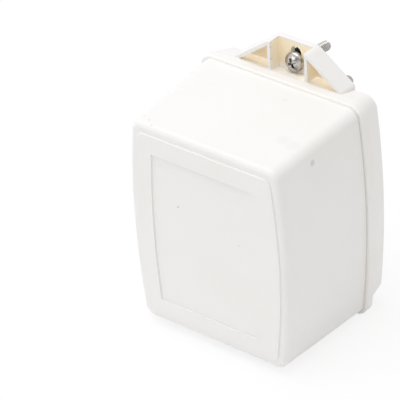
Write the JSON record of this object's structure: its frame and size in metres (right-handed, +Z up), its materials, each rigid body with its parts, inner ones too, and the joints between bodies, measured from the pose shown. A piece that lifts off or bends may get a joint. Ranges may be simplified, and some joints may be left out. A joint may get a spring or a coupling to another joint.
{
  "type": "plug-in ac transformer",
  "caption": "White plug-in AC transformer with a bowed moulded case, two line blades, a tab with a captive screw on top and screw terminals below.",
  "frame": {"origin": "on the wall face, midway between the two line blades", "axes": "+X to the right seen from the front, +Y out of the back along the blades into the outlet, +Z up towards the screw tab"},
  "size_m": [0.0696, 0.0731, 0.0924],
  "materials": {
    "case_plastic": "smooth moulded, low gloss, warm white",
    "base_plastic": "smooth moulded, low gloss, warm white",
    "plated_steel": "nickel plated",
    "black_washer": "black nylon",
    "blade_metal": "nickel plated brass",
    "terminal_brass": "plain brass",
    "core_steel": "stacked electrical steel, lacquered",
    "strap_steel": "black coated steel",
    "bobbin_nylon": "natural nylon",
    "copper_wire": "enamelled copper wire",
    "yellow_tape": "polyester tape",
    "fuse_case": "plated case",
    "black_insulation": "PVC insulation",
    "white_insulation": "PVC insulation",
    "fibre_sheet": "vulcanised fibre"
  },
  "bodies": {
    "root": {"front_shell": "case_plastic", "rear_base": "base_plastic", "mounting_screw": "plated_steel", "screw_retainer": "black_washer", "left_blade": "blade_metal", "right_blade": "blade_metal", "terminal_plate_left": "terminal_brass", "terminal_plate_right": "terminal_brass", "terminal_clamp_left": "plated_steel", "terminal_clamp_right": "plated_steel", "terminal_screw_left": "plated_steel", "terminal_screw_right": "plated_steel", "e_laminations": "core_steel", "i_laminations": "core_steel", "core_strap": "strap_steel", "bobbin": "bobbin_nylon", "primary_winding": "copper_wire", "secondary_winding": "copper_wire", "primary_tape": "yellow_tape", "secondary_tape": "yellow_tape", "thermal_fuse": "fuse_case", "primary_lead_left": "black_insulation", "primary_lead_right": "black_insulation", "secondary_lead_left": "white_insulation", "secondary_lead_right": "white_insulation", "insulating_sheet": "fibre_sheet"}
  },
  "joints": []
}
